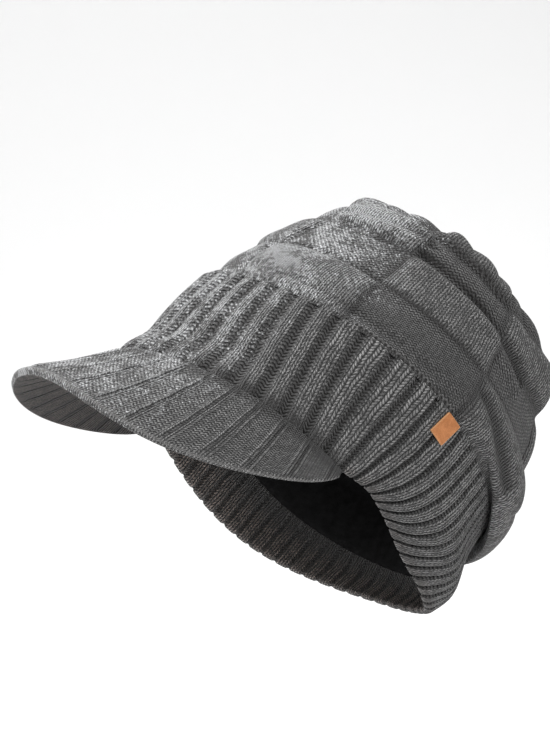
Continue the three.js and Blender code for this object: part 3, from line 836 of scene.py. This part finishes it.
def crown_blocks(turn, level):
    """For each place: 1 in a knit block or 0 in a purl one, the block's pillow, and nearness to its edges."""
    ring = np.clip(np.searchsorted(RING_LEVELS, level, side="right") - 1, 0, 4)
    low = np.maximum(RING_LEVELS[ring], mix(0.015, ROLL_TOP, roll_share(turn)))
    up = np.clip((level - low) / (RING_LEVELS[ring + 1] - low), 0, 1)
    place = turn * BLOCKS_ROUND / math.tau
    along = place - np.floor(place)
    pillow = (1 - (2 * up - 1) ** 6) * (1 - (2 * along - 1) ** 10)
    knit = ((np.floor(place).astype(int) + ring) % 2 == 0).astype(float)
    plain = (ring > 3) | (level < low)
    to_side = np.minimum(along, 1 - along) * 45 / 1.4
    to_seam = np.abs(level[..., None] - RING_EDGES).min(-1) * 110
    near = np.maximum(bell(to_side, 1.0) * (ring < 4) * (level > low), bell(to_seam, 1.6))
    return np.where(plain, 1, knit), np.where(plain, 0, pillow), near


class BEANIE_OT_crown(bpy.types.Operator):
    """Make the slouchy basketweave crown"""

    bl_idname = "beanie.crown"
    bl_label = "Crown"

    def execute(self, context):
        """The crown's outline moved along its normal by block pillows, folds and gathers, outside and in."""
        sizes = context.scene.beanie_crown
        around = BLOCKS_ROUND * COLUMNS_PER_BLOCK
        turn = (np.arange(around) * math.tau / around)[None]
        levels = np.linspace(0, CROWN_END, CROWN_ROWS_UP)[:, None]
        base = crown_point(turn, levels)
        normal = surface_normal(crown_point, turn, levels, 0.01, 0.004)
        knit, pillow, near = crown_blocks(turn + 0 * levels, levels + 0 * turn)
        puff = sizes.knit_puff * 1000
        relief = pillow * np.where(knit > 0.5, puff, -0.6) - 0.6 * near
        folds = np.zeros_like(relief)
        hollows = np.zeros_like(relief)
        for turns, places, spread, out in CROWN_FOLDS:
            path = crown_point(np.radians(np.array(turns, float)), np.array(places))
            shape = out * bell(away_from_line(base, path), spread * CROWN_HEIGHT)
            folds += shape
            hollows += np.maximum(-shape, 0)
        lobes = np.abs(np.sin((turn - GATHER_START) * GATHERS_ROUND / 2)) ** 0.7
        scallops = sizes.gather_depth * 1000 * (lobes - 0.45) * bell(levels - GATHER_LEVEL, 0.045)
        groove = 1.6 * bell(levels - GROOVE_LEVEL, 0.011)
        relief = relief + folds * sizes.fold_depth + scallops - groove
        tucked = np.array((0, 0, CROWN_TUCK)) * (1 - smooth(levels, 0, 0.03))[..., None]
        outer = base + normal * relief[..., None] - tucked
        inner_rows = slice(None, None, -3)
        inset = np.minimum(relief, 0) * 0.8 - CROWN_WALL
        inner = (base + normal * inset[..., None])[inner_rows]
        apex = crown_point(np.array(0.0), np.array(1.0))
        rings = np.concatenate([outer[::-1], inner[::-1]])
        poles = [apex, apex - (0, 0, CROWN_WALL)]
        step = np.linalg.norm(np.diff(base, axis=0), axis=-1).mean(1)
        course = np.concatenate([[0], np.cumsum(step)]) / COURSE
        rows = np.concatenate([levels[::-1, 0], levels[inner_rows, 0][::-1]])
        courses = np.concatenate([course[::-1], course[inner_rows][::-1]])
        middle = (rows[:-1] + rows[1:]) / 2
        ring = np.clip(np.searchsorted(RING_LEVELS, middle, side="right") - 1, 0, 4)
        share = np.arange(around + 1) / around * BLOCKS_ROUND
        wales = RING_WALES[ring][:, None] * share[None]
        u = np.stack([wales[:, :-1], wales[:, 1:], wales[:, 1:], wales[:, :-1]], -1)
        low, high = courses[:-1, None, None], courses[1:, None, None]
        v = np.concatenate([low, low, high, high], -1) + 0 * u
        mesh = make_mesh("crown", place_on_head(rings), np.stack([u, v], -1), place_on_head(np.array(poles)))

        def both(values):
            return np.concatenate([values[::-1], values[inner_rows][::-1]])

        inside = np.concatenate([np.zeros(len(outer)), np.ones(len(inner))])[:, None]
        set_values(mesh, "purl", both(1 - knit))
        # Painted shade: block edges and ring seams, fold hollows, the crease under the roll at the back, the
        # groove ring, the seam at the band, between the scallops, and the inner face; purl blocks are darker
        # too
        under_roll_shade = roll_share(turn) * (1 - smooth(levels, 0.04, 0.15))
        dark = 0.75 * near + 0.75 * under_roll_shade + 0.3 * hollows * sizes.fold_depth + 0.5 * (1 - knit)
        dark = dark + 0.7 * bell(levels - GROOVE_LEVEL, 0.01) + 0.8 * (1 - smooth(levels, 0.004, 0.026))
        dark = dark + 0.7 * (1 - lobes) ** 2 * bell(levels - GATHER_LEVEL, 0.05)
        set_values(mesh, "shade", np.clip(both(dark) + 0.4 * inside, 0, 1))
        frost = frost_on(normal, 0.25, 0.85) * (1 + 0.8 * smooth(levels, 0.6, 0.8)) * (1 - 0.5 * near)
        set_values(mesh, "frost", both(frost) * (1 - inside))
        piece = finish_piece("crown_knit", mesh, knit_material("crown_knit"), "crown")
        return {"FINISHED"}


class BEANIE_OT_lining(bpy.types.Operator):
    """Make the black fleece lining"""

    bl_idname = "beanie.lining"
    bl_label = "Lining"

    def execute(self, context):
        """Against the inner ribs up to the band's top, then along its own outline, with lumps."""
        turn = (np.arange(144) * math.tau / 144)[None]
        heights = np.linspace(LINING_START, LINING_TOP, 10)[:, None]
        outline = curve_through(LINING_ROWS, np.linspace(0, 1, 26))
        reach, rise = outline[:, :1], outline[:, 1:]

        def wall(inset):
            depth = np.full((len(heights), turn.size), BAND_WALL + SEWN_GAP + inset)
            lower = band_point(turn, heights, depth)
            ease = 2 * (BAND_WALL + SEWN_GAP + LINING_EASE * smooth(rise, 0, 0.3) + inset)
            spot = loop_point(turn, BAND_TOP_WIDTH * reach - ease, BAND_TOP_LENGTH * reach - ease)
            outward = loop_normal(turn, BAND_TOP_WIDTH, BAND_TOP_LENGTH)
            spot = spot - outward * front_tuck(turn, rise)[..., None]
            base = mix(top_height(turn), BAND_HEIGHT, smooth(rise, 0, 0.8))
            height = base + CROWN_HEIGHT * rise - inset * smooth(rise, 0.3, 0.9)
            return np.concatenate([lower, np.concatenate([spot, height[..., None]], -1)])

        rows = np.arange(len(heights) + len(rise))[:, None]
        lumps = 0.35 * (1 + np.sin(11 * turn + 0.9 * rows) * np.sin(7 * turn - 0.6 * rows))
        rings = np.concatenate([wall(0)[::-1], wall(LINING_WALL + lumps[: len(heights)].mean())])
        top = np.array((0, 0, BAND_HEIGHT + CROWN_HEIGHT * (LINING_ROWS[-1, 1] + 0.02)))
        poles = place_on_head(np.array([top, top - (0, 0, LINING_WALL)]))
        mesh = make_mesh("lining", place_on_head(rings), None, poles)
        piece = finish_piece("lining_fleece", mesh, fleece_material("lining_fleece"), "lining")
        return {"FINISHED"}


class BEANIE_OT_leather_tag(bpy.types.Operator):
    """Make the small leather tag"""

    bl_idname = "beanie.leather_tag"
    bl_label = "Leather Tag"

    def execute(self, context):
        """Sections round a rounded rectangle, side by side along the tag, lying on the crests of the ribs."""
        sizes = context.scene.beanie_tag
        thick = sizes.thickness * 1000
        half_turn = TAG_WIDTH / BAND_TOP_LENGTH
        half_height = TAG_LENGTH / 2 / BAND_HEIGHT
        angle = np.linspace(0, math.tau, 65)[:-1, None]
        along = np.sin(np.linspace(-1, 1, 33) * math.pi / 2)[None]
        across = np.sign(np.cos(angle)) * np.abs(np.cos(angle)) ** 0.16
        lift = (1 + np.sign(np.sin(angle)) * np.abs(np.sin(angle)) ** 0.4) / 2
        ends = (1 - np.abs(along) ** 14) ** 0.5 * 0.8 + 0.2
        narrow = 1 - 0.05 * np.abs(along) ** 20
        height = TAG_TOP - half_height + along * half_height
        turn = TAG_TURN + across * narrow * half_turn + TAG_LEAN * (along * half_height)
        depth = -SEWN_GAP - thick / 2 - (lift - 0.5) * thick * ends
        points = wall_point(turn, height + 0 * turn, depth)
        mesh = make_mesh("leather_tag", place_on_head(points), None, ends_open=True)
        rim = np.maximum(smooth(np.abs(across), 0.86, 1.0), smooth(np.abs(along), 0.93, 1.0))
        set_values(mesh, "edge", rim)
        finish_piece("leather_tag_tan", mesh, leather_material("tag_leather"), "leather_tag")
        return {"FINISHED"}


class BEANIE_OT_stage(bpy.types.Operator):
    """Set the pale floor, the soft lights and the camera"""

    bl_idname = "beanie.stage"
    bl_label = "Stage"

    def execute(self, context):
        """The floor is flat, then curves up behind; the camera looks at the near front of the beanie."""
        stage = context.scene.beanie_stage
        scene = context.scene
        self.floor(stage)
        self.lights(stage)
        world = bpy.data.worlds.new("studio")
        world.use_nodes = True
        world.node_tree.nodes["Background"].inputs["Color"].default_value = (1, 1, 1, 1)
        world.node_tree.nodes["Background"].inputs["Strength"].default_value = stage.surround
        scene.world = world
        scene.view_settings.view_transform = "Standard"
        data = bpy.data.cameras.new("camera")
        data.lens = 121.2
        data.sensor_width = 36
        data.clip_start = 0.01
        data.clip_end = 60
        camera = bpy.data.objects.new("camera", data)
        scene.collection.objects.link(camera)
        hem_middle = Vector(place_on_head(np.zeros((1, 3)))[0])
        camera.location = hem_middle + self.direction(stage.azimuth, stage.elevation) * stage.distance
        camera.rotation_mode = "QUATERNION"
        aim = self.direction(stage.azimuth, stage.elevation - math.radians(2.72))
        camera.rotation_quaternion = (-aim).to_track_quat("-Z", "Y")
        scene.camera = camera
        return {"FINISHED"}

    @staticmethod
    def direction(azimuth, elevation):
        """Unit vector from the beanie towards a viewer."""
        flat = math.cos(elevation)
        return Vector((math.sin(azimuth) * flat, -math.cos(azimuth) * flat, math.sin(elevation)))

    def floor(self, stage):
        """A sweep: flat, then a quarter circle, then upright, seen from the camera."""
        low = min(CAD_BOX[0].z, 0) - stage.drop
        bend = np.linspace(0, math.pi / 2, 24)
        radius = 1.2
        back = np.concatenate([[-6.0, 1.6], 1.6 + radius * np.sin(bend), [1.6 + radius]])
        height = np.concatenate([[0, 0], radius - radius * np.cos(bend), [7.0]])
        side = np.linspace(-7, 7, 8)
        away = -self.direction(stage.azimuth, 0)
        right = away.cross(Vector((0, 0, 1)))
        spots = (
            side[None, :, None] * np.array(right)
            + back[:, None, None] * np.array(away)
            + height[:, None, None] * np.array((0, 0, 1))
            + np.array((0, 0, low))
        )
        rows, columns = spots.shape[:2]
        index = np.arange(rows * columns).reshape(rows, columns)
        quads = np.stack([index[:-1, :-1], index[:-1, 1:], index[1:, 1:], index[1:, :-1]], -1).reshape(-1, 4)
        mesh = bpy.data.meshes.new("floor")
        mesh.from_pydata(spots.reshape(-1, 3).tolist(), [], quads.tolist())
        mesh.polygons.foreach_set("use_smooth", np.ones(len(quads), bool))
        material, wire = new_material("floor")
        place = wire.place()
        tint = blend(wire, noise(wire, place, 0.6), (0.9, 0.9, 0.9, 1), (0.93, 0.93, 0.93, 1))
        surface_output(wire, tint, 0.9, noise(wire, place, 0.01), 0.0001, {"Specular IOR Level": 0.1})
        mesh.materials.append(material)
        sweep = bpy.data.objects.new("floor", mesh)
        bpy.context.scene.collection.objects.link(sweep)

    def lights(self, stage):
        """Large soft lights: azimuth, elevation, distance, width and power of each, aimed at the beanie."""
        middle = (CAD_BOX[0] + CAD_BOX[1]) / 2
        rows = (
            ("key", -20, 48, 1.6, 1.3, stage.key),
            ("fill", 105, 25, 1.9, 1.6, stage.fill),
            ("back", 215, 50, 2.0, 1.4, stage.back),
        )
        for name, azimuth, elevation, distance, width, power in rows:
            data = bpy.data.lights.new(name, "AREA")
            data.size = width
            data.energy = power
            lamp = bpy.data.objects.new(name, data)
            bpy.context.scene.collection.objects.link(lamp)
            toward = self.direction(math.radians(azimuth), math.radians(elevation))
            lamp.location = middle + toward * distance
            lamp.rotation_mode = "QUATERNION"
            lamp.rotation_quaternion = toward.to_track_quat("Z", "Y")


def number(name, description, default, low, high, **kind):
    """A number property of any kind."""
    return FloatProperty(name=name, description=description, default=default, min=low, max=high, **kind)


def size(name, description, default, low, high):
    """A length property in metres."""
    return number(name, description, default, low, high, unit="LENGTH")


def share(name, description, default, high=1.0):
    """A plain factor."""
    return number(name, description, default, 0, high, subtype="FACTOR")


def power(name, description, default):
    """A lamp's power in watts."""
    return number(name, description, default, 0, 500, unit="POWER")


def angle(name, description, default):
    """An angle given in degrees."""
    return number(name, description, math.radians(default), -math.pi, math.pi, subtype="ANGLE")


def colour(name, description, default):
    """A colour with alpha."""
    kind = {"size": 4, "min": 0, "max": 1, "subtype": "COLOR"}
    return FloatVectorProperty(name=name, description=description, default=(*default, 1), **kind)


class BeanieYarn(bpy.types.PropertyGroup):
    light: colour("Light Yarn", "Palest fibres of the melange", (0.48, 0.474, 0.47))
    dark: colour("Dark Yarn", "Darkest fibres of the melange", (0.09, 0.088, 0.087))
    # Painted shade colour for the gaps between stitches
    gap: colour("Gap Shade", "Between the stitches", (0.006, 0.006, 0.006))
    # Warm tint painted into shaded places: inside, under the hem's curl and under the peak
    shade_warmth: colour("Warm Shade Tint", "Warm tint of the painted shade inside and under the peak", (1.0, 0.8, 0.7))
    # Painted shade colour deep in grooves and creases
    shadow: colour("Groove Shade", "Deep in grooves and creases", (0.008, 0.0065, 0.006))
    # Painted highlight colour along the peak's rim
    pale: colour("Painted Edge Highlight", "The pale line round the peak", (0.4, 0.39, 0.385))
    ice: colour("Frost", "Flecks of frost on the yarn", (0.93, 0.94, 0.96))
    frost: share("Frost Amount", "How much frost lies on the upper faces, none at 0", 1.0, 2.0)


class BeanieBand(bpy.types.PropertyGroup):
    rib_depth: size("Rib Depth", "Depth of the grooves outside", 0.0026, 0.0005, 0.003)
    inner_rib_depth: size("Inner Rib Depth", "Depth of the grooves inside", 0.0009, 0.0002, 0.0015)


class BeaniePeak(bpy.types.PropertyGroup):
    ridge_height: size("Ridge Height", "Height of the paired ridges on top", 0.0009, 0.0, 0.002)


class BeanieCrown(bpy.types.PropertyGroup):
    knit_puff: size("Knit Puff", "How far a knit block stands proud", 0.0026, 0.0, 0.004)
    gather_depth: size("Gather Depth", "Depth of the scallops near the top", 0.0034, 0.0, 0.006)
    fold_depth: share("Fold Depth", "How deep the folds are", 1.0, 1.3)


class BeanieLining(bpy.types.PropertyGroup):
    deep: colour("Fleece", "Deep in the fleece", (0.003, 0.003, 0.003))
    nap: colour("Nap", "Tips of the fleece", (0.012, 0.012, 0.0125))


class BeanieTag(bpy.types.PropertyGroup):
    thickness: size("Thickness", "Thickness of the leather", 0.0013, 0.0008, 0.002)
    dye: colour("Dye", "Darker leather", (0.42, 0.15, 0.042))
    worn: colour("Worn", "Lighter leather", (0.55, 0.215, 0.075))
    cut_edge: colour("Cut Edge", "Pale rim of the tag", (0.6, 0.33, 0.16))


class BeanieStage(bpy.types.PropertyGroup):
    azimuth: angle("Azimuth", "How far the camera is turned from the front", 55.0)
    elevation: angle("Elevation", "How far the camera is raised", 10.7)
    distance: size("Distance", "Camera's distance", 1.2, 0.5, 3.0)
    drop: size("Floor Drop", "How far the floor is below the beanie", 0.3, 0.004, 1.0)
    surround: share("Surround", "Brightness of the room", 0.68, 3.0)
    key: power("Key", "Power of the key light", 30.0)
    fill: power("Fill", "Power of the fill light", 5.0)
    back: power("Back", "Power of the light behind", 22.0)


class BEANIE_PT_panel(bpy.types.Panel):
    """Lists the pieces of the beanie and their sizes and colours"""

    bl_label = "Visor Beanie"
    bl_idname = "BEANIE_PT_panel"
    bl_space_type = "VIEW_3D"
    bl_region_type = "UI"
    bl_category = "Beanie"

    def draw(self, context):
        for operator in OPERATORS:
            self.layout.operator(operator.bl_idname)
        for key, group in GROUPS.items():
            box = self.layout.box()
            for name in group.__annotations__:
                box.prop(getattr(context.scene, key), name)


GROUPS = {
    "beanie_yarn": BeanieYarn,
    "beanie_band": BeanieBand,
    "beanie_peak": BeaniePeak,
    "beanie_crown": BeanieCrown,
    "beanie_lining": BeanieLining,
    "beanie_tag": BeanieTag,
    "beanie_stage": BeanieStage,
}
OPERATORS = (
    BEANIE_OT_stage,
    BEANIE_OT_rib_band,
    BEANIE_OT_peak,
    BEANIE_OT_crown,
    BEANIE_OT_lining,
    BEANIE_OT_leather_tag,
)


def register():
    for kind in (*GROUPS.values(), *OPERATORS, BEANIE_PT_panel):
        bpy.utils.register_class(kind)
    for key, group in GROUPS.items():
        setattr(bpy.types.Scene, key, PointerProperty(type=group))


def unregister():
    for key in GROUPS:
        delattr(bpy.types.Scene, key)
    for kind in reversed((*GROUPS.values(), *OPERATORS, BEANIE_PT_panel)):
        bpy.utils.unregister_class(kind)


def main():
    register()
    bpy.ops.beanie.stage()
    bpy.ops.beanie.rib_band()
    bpy.ops.beanie.peak()
    bpy.ops.beanie.crown()
    bpy.ops.beanie.lining()
    bpy.ops.beanie.leather_tag()


if __name__ == "__main__":
    main()
